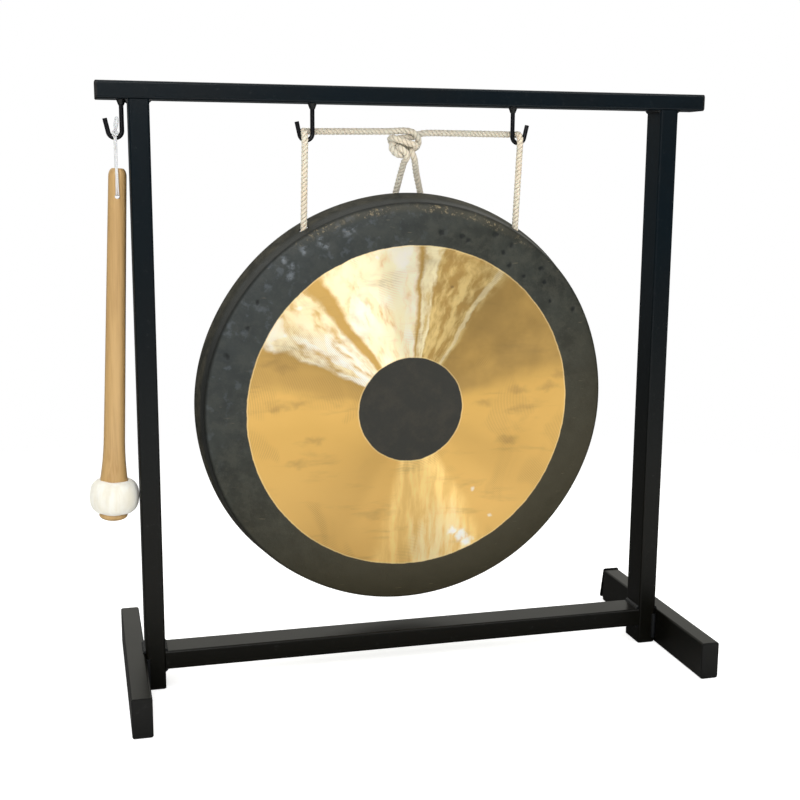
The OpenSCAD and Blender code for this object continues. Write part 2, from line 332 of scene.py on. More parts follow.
def gong_axes():
    """The matrix from the gong's own axes to the frame, and the radius of its flat face in millimetres.

    Its own axes are x to the player's right, y up along the face and z out of the face.
    """
    mesh = NODES["gong"].data
    forward_faces = [p for p in mesh.polygons if p.normal.y < -0.9]
    face = max(forward_faces, key=lambda p: p.area)
    out = face.normal.normalized()
    point = mesh.vertices[face.vertices[0]].co
    ring = [v.co for v in mesh.vertices if abs((v.co - point).dot(out)) < 1e-5]
    lowest = Vector(min(v[k] for v in ring) for k in range(3))
    highest = Vector(max(v[k] for v in ring) for k in range(3))
    right = Vector((1, 0, 0))
    up = out.cross(right)
    axes = Matrix((right, up, out)).transposed().to_4x4()
    axes.translation = (lowest + highest) / 2
    return axes, (highest.x - lowest.x) / 2 / MM


GONG_AXES, FLAT_R = gong_axes()
gong_low, gong_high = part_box("gong")
RIM_R = (gong_high.x - gong_low.x) / 2 / MM
RIM_DEPTH = 41.0
SHOULDER_EDGE = RIM_R - 9.9


def gong_profile(inset):
    """Half section of one skin of the gong: radii and depths behind the face, in millimetres."""
    slope = math.asin((SHOULDER_EDGE - FLAT_R) / SHOULDER_R)
    flat = np.concatenate([np.linspace(3, 48, 10), np.linspace(50, FLAT_R - 2, 58)])
    bow = np.linspace(0, slope, 30)
    turn = np.linspace(slope, math.pi / 2 - RIM_FLARE, 10)[1:]
    shoulder_depth = SHOULDER_R * (1 - math.cos(slope))
    corner_r = SHOULDER_EDGE - CORNER_R * math.sin(slope)
    corner_depth = shoulder_depth + CORNER_R * math.cos(slope)
    radii = [flat, FLAT_R + (SHOULDER_R - inset) * np.sin(bow), corner_r + (CORNER_R - inset) * np.sin(turn)]
    depths = [inset + 0 * flat, SHOULDER_R - (SHOULDER_R - inset) * np.cos(bow),
              corner_depth - (CORNER_R - inset) * np.cos(turn)]
    wall_depth = np.linspace(depths[2][-1], RIM_DEPTH, 15)[1:]
    radii.append(radii[2][-1] + (wall_depth - depths[2][-1]) * math.tan(RIM_FLARE))
    depths.append(wall_depth)
    return np.concatenate(radii), np.concatenate(depths)


# Hammer marks, each an angle in degrees from the player's right and a radius in millimetres
ROUND_MARKS = [(82, 191), (75, 192), (65, 205), (59, 204), (73, 188), (56, 185), (47, 205), (50, 185),
               (43, 197), (37, 190), (30, 207), (60, 192), (152, 197), (162, 205), (144, 202)]
# these hammer marks are real polish, brightened in the colour by painted highlights
POLISHED_HIGHLIGHT_MARKS = [(109, 204), (111, 203), (119, 206), (118, 200), (124, 206), (130, 211), (130, 202),
                  (132, 196)]
# Marks on the gold, placed the same way: smudges, small painted glints, the brightest painted highlight and
# one dark dot
SMUDGES = [(160, 160), (160, 146), (177, 143), (174, 122), (8, 123), (7, 157), (11, 174), (3, 82),
           (195, 108), (341, 118), (204, 134)]
PAINTED_GLINTS = [(308, 118), (307, 156), (137, 166), (104, 168), (148, 160)]
PAINTED_HIGHLIGHT_SPOT = [(293, 158), (290, 148), (294, 168)]
DARK_DOT = [(73, 137)]
# Width and depth of the dents at those marks, in millimetres
ROUND_DENT = (3.2, 1.0)
POLISHED_DENT = (4.6, 0.7)
# Random dents of the dark band and of the gold: how many, and their ranges of radius, width and depth
DENT_FAMILIES = [(110, (181, 213), (4, 8), (0.15, 0.4)),
                 (60, (62, 170), (8, 18), (0.03, 0.08))]


def on_disc(mark):
    """Place of a mark on the gong's face, in millimetres."""
    angle = math.radians(mark[0])
    return mark[1] * math.cos(angle), mark[1] * math.sin(angle)


def hammered(x, y):
    """How far the bronze lies behind its true shape at each point, in millimetres."""
    draw = np.random.default_rng(11)
    depth = np.zeros_like(x)
    dents = [(*mark, *ROUND_DENT) for mark in ROUND_MARKS]
    dents += [(*mark, *POLISHED_DENT) for mark in POLISHED_HIGHLIGHT_MARKS]
    for count, radii, sizes, depths in DENT_FAMILIES:
        for _ in range(count):
            dents.append([draw.uniform(*span) for span in ((0, 360), radii, sizes, depths)])
    for angle, radius, size, deep in dents:
        cx, cy = on_disc((angle, radius))
        near = (np.abs(x - cx) < 3 * size) & (np.abs(y - cy) < 3 * size)
        away = (x[near] - cx) ** 2 + (y[near] - cy) ** 2
        depth[near] += deep * np.exp(-away / size ** 2)
    angle = np.arctan2(y, x)
    radius = np.hypot(x, y)
    on_gold = np.clip((radius - CENTRE_R) / 30, 0, 1) * np.clip((FLAT_R - radius) / 20, 0, 1)
    depth += 0.10 * on_gold * value_noise(angle, seed=5, waves=12, lowest=7, highest=26)
    depth += 0.25 * np.sin(x / 61 + 1.3) * np.sin(y / 53 + 0.4) * np.clip(radius / 60, 0, 1)
    return depth


def gong_skin(inset):
    """Points of one skin in the gong's own axes, ring by ring from the middle out."""
    radii, depths = gong_profile(inset)
    angle = np.linspace(0, 2 * math.pi, GONG_TURNS, endpoint=False)
    x = radii[:, None] * np.cos(angle)
    y = radii[:, None] * np.sin(angle)
    fade = np.clip((SHOULDER_EDGE + 3 - radii) / 6, 0, 1)[:, None]
    z = -depths[:, None] - hammered(x, y) * fade
    waves = value_noise(angle, seed=3, waves=5, lowest=2, highest=9)
    wobble = 1 + 0.0012 * waves[None, :] * (1 - fade)
    return np.stack([x * wobble, y * wobble, z], axis=2)


def make_gong():
    front = gong_skin(0.0)
    back = gong_skin(WALL)
    rows = len(front)
    points = np.vstack([front.reshape(-1, 3), back.reshape(-1, 3),
                        [front[0].mean(axis=0)], [back[0].mean(axis=0)]])
    second = rows * GONG_TURNS
    faces = grid_faces(rows, GONG_TURNS, flip=True)
    faces += grid_faces(rows, GONG_TURNS, start=second)
    rim_front = (rows - 1) * GONG_TURNS
    rim_back = second + rim_front
    for j in range(GONG_TURNS):
        k = (j + 1) % GONG_TURNS
        faces.append((rim_front + j, rim_back + j, rim_back + k, rim_front + k)[::-1])
        faces.append((2 * second, j, k))
        faces.append((2 * second + 1, second + k, second + j))
    gong = link_mesh("hammered_gong", points, faces)
    gong.matrix_world = GONG_AXES
    repair_normals(gong)
    drill_rope_holes(gong)
    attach(gong, "gong")
    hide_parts("gong")
    return gong


def repair_normals(obj):
    """Turns every face outwards."""
    work = bmesh.new()
    work.from_mesh(obj.data)
    bmesh.ops.recalc_face_normals(work, faces=work.faces)
    work.to_mesh(obj.data)
    work.free()


def drill_rope_holes(gong):
    """Cuts the two holes that the rope runs through, in the rim's wall."""
    hole_r = 4.9
    middle = JOINTS["gong_swing"]["pos_m"][0]
    for side in (-1, 1):
        x = middle + strand_x(side) * MM - GONG_AXES.translation.x
        work = bmesh.new()
        bmesh.ops.create_cone(work, cap_ends=True, segments=40, radius1=hole_r * MM, radius2=hole_r * MM,
                              depth=80 * MM)
        mesh = bpy.data.meshes.new("hole")
        work.to_mesh(mesh)
        work.free()
        cutter = bpy.data.objects.new("hole_cutter", mesh)
        SCENE.collection.objects.link(cutter)
        up = Matrix.Rotation(math.radians(90), 4, "X")
        cutter.matrix_world = GONG_AXES @ Matrix.Translation((x, 195 * MM, -HOLE_DEPTH * MM)) @ up
        cut = gong.modifiers.new("hole", "BOOLEAN")
        cut.operation = "DIFFERENCE"
        cut.solver = "EXACT"
        cut.object = cutter
        bpy.context.view_layer.update()
        apply_modifiers(gong)
        bpy.data.objects.remove(cutter)
    gong.data.shade_smooth()


# ---------------------------------------------------------------- gong: bronze

RIM_FACE = (219.2, 222.0)
BACK_CENTRE_R = 111.0
GROOVE_PITCH = 1.7


def bronze():
    """Patina, lathe-turned gold ring and dark centre, told apart by the distance from the middle."""
    f = Finish("hammered_bronze")
    x, y, _ = f.add("SeparateXYZ", {0: f.place}).outputs
    flat = f.add("CombineXYZ", {0: x, 1: y, 2: 0.0}).outputs[0]
    radius = f.times(f.add("VectorMath", {0: flat}, operation="LENGTH").outputs["Value"], 1 / MM)
    angle = f.math("ARCTAN2", y, x)
    edge = f.math("ADD", radius, f.scaled(f.noise(55, 4, 0.6), 2.4, -1.2))
    outer_edge = f.between(edge, GOLD_R - 0.5, GOLD_R + 0.5)
    inner_edge = f.between(edge, CENTRE_R - 0.5, CENTRE_R + 0.5)
    true_normal = f.add("NewGeometry").outputs["True Normal"]
    own_normal = f.add("VectorTransform", {0: true_normal}, vector_type="NORMAL", convert_from="WORLD",
                       convert_to="OBJECT").outputs[0]
    is_front = f.between(f.add("SeparateXYZ", {0: own_normal}).outputs[2], -0.2, 0.0)
    on_ring = f.times(f.math("SUBTRACT", inner_edge, outer_edge), is_front)
    on_rim = f.between(radius, *RIM_FACE)

    gold, grooves, painted_reflection = gold_colours(f, y, radius, angle, edge)
    patina, polish_and_highlight = patina_colours(f, x, y, radius, on_rim)
    soot = (0.036, 0.036, 0.031, 1)
    ash = (0.050, 0.046, 0.037, 1)
    charcoal = f.mix(f.patches(0.4, 0.7, 38, 5, 0.7), soot, ash)
    dark = f.mix(f.between(radius, BACK_CENTRE_R - 1, BACK_CENTRE_R + 1), charcoal, patina)
    colour = f.mix(on_ring, dark, gold)

    # the grooves of the lathe stretch the ring's highlights outwards
    outwards = f.add("VectorMath", {0: flat}, operation="NORMALIZE").outputs[0]
    groove_axis = f.add("VectorTransform", {0: outwards}, vector_type="VECTOR", convert_from="OBJECT",
                        convert_to="WORLD").outputs[0]
    groove_normal = f.bump(f.times(grooves, on_ring), 0.03)
    skin = f.times(f.noise(330, 4, 0.65), f.inverse(on_ring))
    normal = f.bump(skin, 0.30, before=groove_normal)

    rough_gold = f.scaled(f.noise(12, 2), 0.10, 0.28)
    rough_dark = f.scaled(f.noise(9, 5, 0.65), 0.25, 0.38)
    rough_dark = f.scaled(polish_and_highlight, -0.2, rough_dark)
    rough_dark = f.scaled(on_rim, 0.15, rough_dark)
    rough_dark = f.scaled(f.math("LESS_THAN", radius, 100.0), 0.25, rough_dark)
    roughness = f.add("Mix", {0: on_ring, 2: rough_dark, 3: rough_gold}, data_type="FLOAT").outputs[0]
    metallic = f.scaled(on_ring, 0.9, 0.1)
    specular = f.scaled(on_ring, 0.2, f.scaled(on_rim, -0.2, 0.3))

    # the wedges are painted reflections of windows of the room around the photographer, which the studio
    # doesn't have; they also glow faintly, a painted light
    f.surface(Emission_Color=colour, Emission_Strength=f.times(painted_reflection, on_ring, 0.12))
    f.material.cycles.emission_sampling = "NONE"
    return f.surface(Base_Color=colour, Metallic=metallic, Roughness=roughness, Normal=normal,
                     Anisotropic=f.times(on_ring, 0.93), Tangent=groove_axis,
                     Specular_IOR_Level=specular, Coat_Weight=f.times(on_ring, 0.2),
                     Coat_Roughness=0.25)


def gold_colours(f, y, radius, angle, edge):
    """Colour of the ring's bright polish with its painted reflections, its grooves' height, and where it has
    painted reflections of a bright window.

    Angles are in degrees from the player's right, radii in millimetres.
    """
    warm = (0.69, 0.42, 0.116, 1)
    light = (0.90, 0.56, 0.175, 1)
    deep = (0.43, 0.27, 0.085, 1)
    glow = (1.0, 0.78, 0.34, 1)
    amber = (1.0, 0.70, 0.26, 1)
    pale = (1.0, 0.88, 0.56, 1)
    white = (1.0, 0.98, 0.90, 1)
    brown = (0.27, 0.175, 0.07, 1)
    burnished = (0.95, 0.72, 0.36, 1)

    # hammered facets: long cells that point at the middle, with torn borders
    torn = f.scaled(f.noise(16, 5, 0.6), 0.20, f.math("ADD", angle, -0.10))
    spoke = f.add("CombineXYZ", {0: f.math("COSINE", torn), 1: f.math("SINE", torn),
                                 2: f.times(radius, 0.0035)}).outputs[0]
    cell = f.add("TexVoronoi", {"Vector": spoke, "Scale": 11.0, "Smoothness": 0.25},
                 feature="SMOOTH_F1").outputs["Color"]
    facet = f.add("SeparateXYZ", {0: cell}).outputs[0]
    streak = f.noise(11, 3, 0.6, vector=spoke)
    patchy = f.patches(0.24, 0.60, 12, 4, 0.5, vector=spoke)
    reflection_flakes = f.patches(0.38, 0.68, 17, 4, 0.5, vector=spoke)
    upright_streak = f.patches(0.36, 0.62, 1.0, 4, 0.6, vector=f.stretched((75, 14, 14)))

    # calm gold; a painted reflection makes it lighter in the low half, painted shade deeper in the upper
    # right
    painted_lighter_low_half = f.inverse(f.between(y, -0.13, 0.0))
    cloudy = f.times(f.patches(0.35, 0.65, 7, 2, 0.5), 0.35)
    gold = f.mix(f.most(cloudy, f.times(painted_lighter_low_half, 0.85)), warm, light)
    drift = f.scaled(f.patches(0.35, 0.68, 14, 4, 0.6), -0.45, 0.95)
    painted_shade_sectors = f.most(f.times(f.sector(torn, 22, 80, 14), drift), f.times(f.sector(torn, 154, 166, 8), 0.5))
    gold = f.mix(painted_shade_sectors, gold, deep)

    # painted reflection: flakes of light and shade in the upper right, between two thin painted lines of
    # light
    gold = f.layer(gold, glow, f.sector(torn, 58, 82, 5), reflection_flakes, 0.6)
    thin_reflection_lines = f.most(f.times(f.sector(torn, 57.5, 59, 1.2), 0.5),
                        f.times(f.sector(torn, 81, 86, 1.5), f.between(streak, 0.25, 0.6)))
    gold = f.mix(thin_reflection_lines, gold, pale)

    # two painted reflections in the upper left, wedges of light with glaring patches
    main_reflection_wedge = f.sector(torn, 90.5, 123, 3)
    left_reflection_wedge = f.times(f.sector(torn, 132, 152, 3), patchy)
    gold = f.layer(gold, pale, main_reflection_wedge, f.between(streak, 0.15, 0.55))
    gold = f.layer(gold, pale, left_reflection_wedge, 0.9)
    glare = f.times(f.patches(0.38, 0.68, 11, 3, 0.55), f.between(facet, 0.0, 0.6))
    gold = f.layer(gold, white, f.most(main_reflection_wedge, left_reflection_wedge), glare)

    # the low painted reflection wedge, opposite, made of upright streaks
    low_reflection_wedge = f.times(f.sector(torn, -98, -64, 8), f.scaled(upright_streak, 0.7, 0.3))
    gold = f.mix(low_reflection_wedge, gold, amber)
    low_reflection_flare = f.times(f.sector(torn, -86, -67, 5), f.between(radius, 90.0, 160.0))
    gold = f.layer(gold, pale, low_reflection_flare, upright_streak, 0.55)
    painted_reflection = f.most(f.most(main_reflection_wedge, left_reflection_wedge), low_reflection_wedge)

    # painted dark reflections: streaks that part the painted wedges
    outer_dark_reflection = f.times(f.sector(torn, 86.5, 88, 1.0), f.between(radius, 120.0, 150.0), 0.15)
    thin_dark_reflection = f.times(f.sector(torn, 126, 130, 2.0), 0.22)
    gold = f.mix(f.most(outer_dark_reflection, thin_dark_reflection), gold, brown)

    # smudges, smears, small painted glints, the brightest painted highlight and one dark dot
    gold = f.layer(gold, brown, f.spots(SMUDGES, 7.5, 2.4, core=0.0), 0.36)
    smear = f.patches(0.52, 0.78, 1.0, 4, 0.6, vector=f.stretched((12, 50, 12)), distortion=0.4)
    gold = f.layer(gold, brown, smear, 0.34)
    gold = f.layer(gold, white, f.spots(PAINTED_GLINTS, 3.4, core=0.1), 0.6)
    gold = f.mix(f.spots(PAINTED_HIGHLIGHT_SPOT, 8.0, core=0.2), gold, white)
    gold = f.layer(gold, brown, f.spots(DARK_DOT, 2.6), 0.8)

    # turned grooves, seen in patches
    wander = f.times(f.noise(10, 2), 4.0)
    groove = f.math("SINE", f.math("ADD", f.times(radius, 2 * math.pi / GROOVE_PITCH), wander))
    grooves = f.times(groove, f.patches(0.52, 0.64, 15, 2, 0.5, distortion=0.8))
    gold = f.layer(gold, brown, f.most(grooves, 0.0), 0.38)

    # a bright burnished line along both edges of the ring
    line_out = f.between(edge, GOLD_R - 1.6, GOLD_R - 0.8)
    line_in = f.inverse(f.between(edge, CENTRE_R + 0.8, CENTRE_R + 1.6))
    gold = f.layer(gold, burnished, f.most(line_out, line_in), 0.5)
    return gold, grooves, painted_reflection


def patina_colours(f, x, y, radius, on_rim):
    """Colour of the dark outer band and rim, and where the hammer's polish and painted highlights brighten
    it.
    """
    slate = (0.036, 0.042, 0.037, 1)
    shade = (0.018, 0.022, 0.020, 1)
    stone = (0.062, 0.064, 0.052, 1)
    moss = (0.056, 0.048, 0.026, 1)
    blue = (0.035, 0.044, 0.050, 1)
    steel = (0.12, 0.14, 0.16, 1)
    bright_steel = (0.17, 0.19, 0.21, 1)
    ink = (0.004, 0.006, 0.006, 1)
    brass = (0.36, 0.29, 0.17, 1)
    dull_brass = (0.10, 0.085, 0.05, 1)
    rim_dark = (0.026, 0.025, 0.018, 1)
    rim_light = (0.068, 0.061, 0.043, 1)
    crease_dark = (0.010, 0.011, 0.009, 1)

    # mottled slate, mossy below; the bluish tint at the upper left is a painted reflection
    patina = f.mix(f.patches(0.36, 0.64, 24, 5, 0.65), slate, shade)
    patina = f.layer(patina, stone, f.patches(0.42, 0.64, 60, 5, 0.75), 0.6)
    low = f.inverse(f.between(f.math("SUBTRACT", y, f.times(x, 0.5)), -0.20, 0.08))
    patina = f.mix(f.scaled(low, 0.75, 0.15), patina, moss)
    leftward = f.math("SUBTRACT", y, x)
    painted_reflection_upper_left = f.between(leftward, 0.10, 0.28)
    patina = f.layer(patina, blue, painted_reflection_upper_left, 0.45)

    # steel-grey patches at the upper left are painted reflections; the hammer's bright marks are real polish
    # with painted highlights; round dark marks of the hammer
    patina = f.layer(patina, steel, painted_reflection_upper_left, f.patches(0.55, 0.70, 75, 3, 0.6), 0.35)
    polish_and_highlight = f.times(f.spots(POLISHED_HIGHLIGHT_MARKS, 6.0, core=0.0), f.patches(0.36, 0.6, 170, 3, 0.7))
    patina = f.layer(patina, bright_steel, polish_and_highlight, 0.8)
    patina = f.layer(patina, ink, f.spots(ROUND_MARKS, 4.0, core=0.2), 0.85)

    # brassy specks where the top of the face is worn, thin scratches elsewhere
    fleck = f.times(f.patches(0.53, 0.63, 230, 4, 0.75), f.patches(0.35, 0.6, 28, 2))
    near_rim = f.math("SUBTRACT", f.between(radius, 207.0, 213.0), f.between(radius, 217.0, 218.5))
    worn = f.times(near_rim, f.between(y, 0.165, 0.20))
    patina = f.layer(patina, brass, fleck, worn)
    patina = f.layer(patina, dull_brass, worn, 0.25)
    scratch = f.patches(0.70, 0.78, 60, 2, 0.5, vector=f.stretched((1, 7, 1)))
    patina = f.layer(patina, brass, scratch, 0.2)

    # the turned-back rim; painted shade darkens the crease before it, most at the upper left, fading to the
    # right
    rim = f.mix(f.patches(0.36, 0.66, 70, 5, 0.7), rim_dark, rim_light)
    patina = f.layer(patina, rim, on_rim, 0.8)
    crease_shade = f.math("SUBTRACT", f.between(radius, 214.5, 218.0), on_rim)
    patina = f.layer(patina, crease_dark, crease_shade, f.scaled(f.between(leftward, -0.10, 0.20), 0.65, 0.15))
    return patina, polish_and_highlight


# ---------------------------------------------------------------- rope

rope_low, rope_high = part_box("hanging_rope")
MIDDLE = np.array([JOINTS["gong_swing"]["pos_m"][0] / MM, 0.0, 0.0])
ROPE_R = 3.5
ROPE_LAY = 13.5
ROPE_X = (rope_high.x - rope_low.x) / 2 / MM - ROPE_R
ROD_Z = JOINTS["gong_swing"]["pos_m"][2] / MM
# The rope's middle line: its height over the hooks, and its front and rear runs
OVER_Z = ROD_Z + 9.0
FRONT_Y = -7.0
BACK_Y = 8.0
KNOT = np.array([-7.6, 9.0, 560.6])
HOLE_DEPTH = 23.5
HOLE_Y = 2.6


def strand_x(side):
    """Sideways place of a front strand; the left one hangs a little further out."""
    return side * ROPE_X - (2.4 if side < 0 else 0.3)


def rope_half(side):
    """One side of the rope, from the middle behind the gong up, over the hook and back to the knot."""
    x = strand_x(side)
    low = rope_low.z / MM + ROPE_R
    bend_r = 8
    bend_x = x - side * bend_r
    hole_z = low + 20
    turn_y = 2.5
    turn_x = x - side * (BACK_Y - turn_y)
    over_front = OVER_Z + FRONT_Y
    return np.vstack([
        [[0, HOLE_Y, low]],
        arc_points([bend_x, HOLE_Y, low + bend_r], [bend_x, HOLE_Y, low], [x, HOLE_Y, low + bend_r]),
        [[x, HOLE_Y, hole_z]],
        arc_points([x, 0, over_front], [x, FRONT_Y, over_front], [x, 0, OVER_Z]),
        arc_points([turn_x, turn_y, OVER_Z], [x, turn_y, OVER_Z], [turn_x, BACK_Y, OVER_Z])])


# The knot's two rope ends, each from the outside in and down, in millimetres around the knot's middle
LEFT_END = [(-30, -1, 11.9), (-18, -1, 12), (-8, -2, 12.8), (2, -3, 13.2), (10, -2, 11), (15, 0, 4),
            (14.5, 3, -4), (8, 6, -6), (-3, 7, -3.5), (-12, 5, 0), (-13.5, 0, 3.5), (-9, -6, 4),
            (0, -9.5, 1.2), (8, -9, -1.2), (12.5, -4, -3.5), (9, 1, -5), (4.5, -3, -6.5),
            (7.5, -5.5, -11), (10, -2, -17)]
RIGHT_END = [(30, -1, 11.2), (18, 0, 11), (11, 2, 7), (1, 0, 6), (-10.5, 1, 5.5), (-16, -0.5, -0.5),
             (-14.5, -3, -7), (-8, -5, -12), (-1, -3.5, -13), (4, 3, -10), (0, 6, -4), (-8, 2, -1),
             (-10, -4, -3.5), (-3, -7.5, -7), (0.5, -5, -11), (-1, -2, -17)]
# The tails behind the gong, from the top down, in millimetres from the stand's middle
LEFT_TAIL = [(-10, 16, 531), (-13, 25, 511), (-16.5, 28, 490), (-19, 28.5, 471)]
RIGHT_TAIL = [(6.5, 16, 531), (13.5, 25, 511), (18, 28, 490), (20, 28.5, 468)]


def settle_knot(paths, gap, rounds):
    """Pushes the knot's strands apart until they lie side by side; they keep near their drawn course."""
    step = 1.5
    drawn = [resample(np.array(p, float), step) for p in paths]
    paths = [path.copy() for path in drawn]
    for _ in range(rounds):
        for path, course in zip(paths, drawn):
            path[1:-1] += 0.3 * (0.5 * (path[:-2] + path[2:]) - path[1:-1])
            path[1:-1] += 0.06 * (course[1:-1] - path[1:-1])
        points = np.vstack(paths)
        owner = np.repeat(np.arange(len(paths)), [len(p) for p in paths])
        order = np.concatenate([np.arange(len(p)) for p in paths])
        apart = points[:, None, :] - points[None, :, :]
        distance = np.linalg.norm(apart, axis=2) + 1e-9
        along = np.abs(order[:, None] - order[None, :]) * step
        neighbours = (owner[:, None] == owner[None, :]) & (along < 1.6 * gap)
        overlap = np.where(neighbours, 0.0, np.clip(gap - distance, 0, None))
        touching = np.maximum((overlap > 0).sum(axis=1), 1)
        push = (apart / distance[:, :, None] * overlap[:, :, None]).sum(axis=1) / touching[:, None]
        points += 0.5 * push
        start = 0
        for path in paths:
            path[1:-1] = points[start + 1:start + len(path) - 1]
            start += len(path)
    return paths


def make_rope():
    """The closed rope with its knot. Its ends cross in the knot: the left one leaves as the right tail."""
    ends = settle_knot([LEFT_END, RIGHT_END], gap=6.7, rounds=60)
    halves = []
    for side, end, tail in ((-1, ends[0], RIGHT_TAIL), (1, ends[1], LEFT_TAIL)):
        halves.append(np.vstack([rope_half(side), end + KNOT, tail]))
    path = np.vstack([halves[0][::-1], halves[1][1:]])
    path = soften(resample(path + MIDDLE, 1.0), 12)
    rope = sweep("twisted_rope", resample(path, 0.85), ROPE_R, strands=3, lay=ROPE_LAY)
    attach(rope, "rope_sling")
    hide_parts("hanging_rope")
    return rope


def cotton(name, base, shade, seam_depth):
    """Twisted cotton: pale yarn, with painted shade where two strands meet and a greyer painted shade behind
    the stand's middle.
    """
    f = Finish(name)
    strand = f.attribute("strand")
    along = f.attribute("along")
    seam_shade = f.inverse(f.between(strand, 0.15, 0.75))
    blush = (base[0], base[1] * 0.93, base[2] * 0.88, 1)
    behind_shade = (0.47, 0.46, 0.41, 1)
    colour = f.mix(f.patches(0.35, 0.7, 34, 2, 0.5), base, blush)
    # painted shade where two strands meet
    colour = f.layer(colour, shade, seam_shade, 0.75)
    y = f.add("SeparateXYZ", {0: f.place}).outputs[1]
    # painted shade: greyer behind the stand's middle
    colour = f.layer(colour, behind_shade, f.between(y, -0.002, 0.008), 0.42)
    yarn_place = f.add("CombineXYZ", {0: f.times(strand, 9.0), 1: f.times(along, 0.35), 2: 0.0}).outputs[0]
    yarn = f.noise(1.6, 4, 0.6, vector=yarn_place)
    fuzz = f.noise(2400, 3, 0.7)
    normal = f.bump(yarn, seam_depth)
    normal = f.bump(fuzz, 0.10, before=normal)
    return f.surface(Base_Color=colour, Roughness=0.92, Normal=normal, Sheen_Weight=0.35,
                     Sheen_Roughness=0.5, Subsurface_Weight=0.12, Subsurface_Scale=0.4,
                     Subsurface_Radius=(0.003, 0.002, 0.0015), Specular_IOR_Level=0.15)


# ---------------------------------------------------------------- mallet

MALLET_HOLE = np.array(JOINTS["mallet_sway"]["pos_m"]) / MM
CORD_R = 0.8
CORD_LAY = 4.0


def mallet_lean():
    """The mallet's lean at rest: how far the knob hangs out sideways over its depth below the hole."""
    low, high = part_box("mallet_handle")
    knob_x = np.mean([v.co.x for v in NODES["mallet_handle"].data.vertices if v.co.z < low.z + 0.004])
    return math.atan2(MALLET_HOLE[0] * MM - knob_x, MALLET_HOLE[2] * MM - low.z)


def mallet_axes():
    """Matrix from the mallet's own axes (its hole at 0, +z up along the handle) to the frame."""
    return Matrix.Translation(Vector(MALLET_HOLE) * MM) @ Matrix.Rotation(mallet_lean(), 4, "Y")


# The felt cover, in the mallet's own axes
HEAD_TOP = -284.5
HEAD_BOTTOM = -318.5
HEAD_R = 25.2
NECK_R = 14.4
KNOB_R = 14.9
FELT_THICKNESS = 2.6


def felt_profile():
    """Radius and height of the felt's outside, from its edge round the handle to its edge round the knob."""
    share = np.linspace(0, 1, 30)
    bulge = np.sin(math.pi * (0.06 + 0.88 * share)) ** 0.44
    radius = NECK_R + (HEAD_R - NECK_R) * bulge
    radius = radius - (radius[0] - NECK_R) * (1 - share) ** 12 - (radius[-1] - KNOB_R) * share ** 12
    top = HEAD_TOP + 1.6
    bottom = HEAD_BOTTOM + 0.4
    return radius, top + (bottom - top) * share


def make_felt():
    """The head's felt cover: a gathered barrel, swollen by a short cloth simulation, then thickened."""
    turns = 120
    radius, height = felt_profile()
    angle = np.linspace(0, 2 * math.pi, turns, endpoint=False)
    folds = 0.35 * value_noise(angle, seed=21, waves=7, lowest=5, highest=17)
    edge_waves = 0.3 * value_noise(angle, seed=8, waves=4, lowest=2, highest=7)
    mid = np.sin(math.pi * np.linspace(0, 1, len(radius)))[:, None] ** 0.7
    r = radius[:, None] * 0.985 - 0.75 * np.clip(folds, 0, None)[None, :] * mid
    z = height[:, None] + edge_waves[None, :] * (1 - mid)
    points = np.stack([r * np.cos(angle), r * np.sin(angle), z + 0 * r], axis=2).reshape(-1, 3)
    felt = link_mesh("felt_cover", points, grid_faces(len(radius), turns, flip=True))
    felt.matrix_world = mallet_axes()
    rows = len(radius)
    sewn = felt.vertex_groups.new(name="sewn")
    edge_rows = [0, 1, rows - 2, rows - 1]
    sewn.add([row * turns + j for row in edge_rows for j in range(turns)], 1.0, "REPLACE")
    inflate(felt, "sewn", most=1.2)
    thick = felt.modifiers.new("thickness", "SOLIDIFY")
    thick.thickness = FELT_THICKNESS * MM
    thick.offset = -1
    smooth = felt.modifiers.new("smooth", "SUBSURF")
    smooth.levels = 1
    smooth.render_levels = 1
    bpy.context.view_layer.update()
    apply_modifiers(felt)
    felt.data.shade_smooth()
    repair_normals(felt)
    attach(felt, "mallet")
    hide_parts("mallet_felt")
    return felt


def inflate(obj, pinned, most):
    """Swells a cloth by air pressure for 20 frames; no point moves more than `most` millimetres."""
    start = np.array([v.co for v in obj.data.vertices])
    cloth = obj.modifiers.new("cloth", "CLOTH")
    cloth.settings.use_pressure = True
    cloth.settings.uniform_pressure_force = 4
    cloth.settings.effector_weights.gravity = 0
    cloth.settings.vertex_group_mass = pinned
    cloth.settings.quality = 5
    for number in range(1, 21):
        SCENE.frame_set(number)
    depsgraph = bpy.context.evaluated_depsgraph_get()
    swollen = obj.evaluated_get(depsgraph).to_mesh()
    moved = np.array([v.co for v in swollen.vertices]) - start
    obj.modifiers.clear()
    SCENE.frame_set(1)
    length = np.linalg.norm(moved, axis=1)[:, None] + 1e-12
    capped = moved * np.minimum(1.0, most * MM / length)
    obj.data.vertices.foreach_set("co", (start + capped).astype(np.float32).ravel())
    obj.data.update()


def felt_material():
    f = Finish("white_felt")
    cream = (0.87, 0.83, 0.71, 1)
    white = (0.95, 0.93, 0.85, 1)
    tan = (0.72, 0.67, 0.58, 1)
    tuft = f.noise(700, 5, 0.7, distortion=0.6)
    fold_and_shade = f.noise(1.0, 3, 0.55, vector=f.stretched((130, 130, 16)))
    # painted shade: the folds' raised parts whiter, their hollows creamier, following the folds' bumps
    colour = f.mix(f.between(fold_and_shade, 0.35, 0.68), cream, white)
    colour = f.layer(colour, tan, f.between(tuft, 0.5, 0.8), 0.15)
    normal = f.bump(fold_and_shade, 1.1)
    normal = f.bump(tuft, 0.35, before=normal)
    return f.surface(Base_Color=colour, Roughness=0.97, Normal=normal, Sheen_Weight=0.6,
                     Sheen_Roughness=0.6, Subsurface_Weight=0.15, Subsurface_Radius=(0.004, 0.004, 0.003),
                     Subsurface_Scale=0.4, Specular_IOR_Level=0.1)


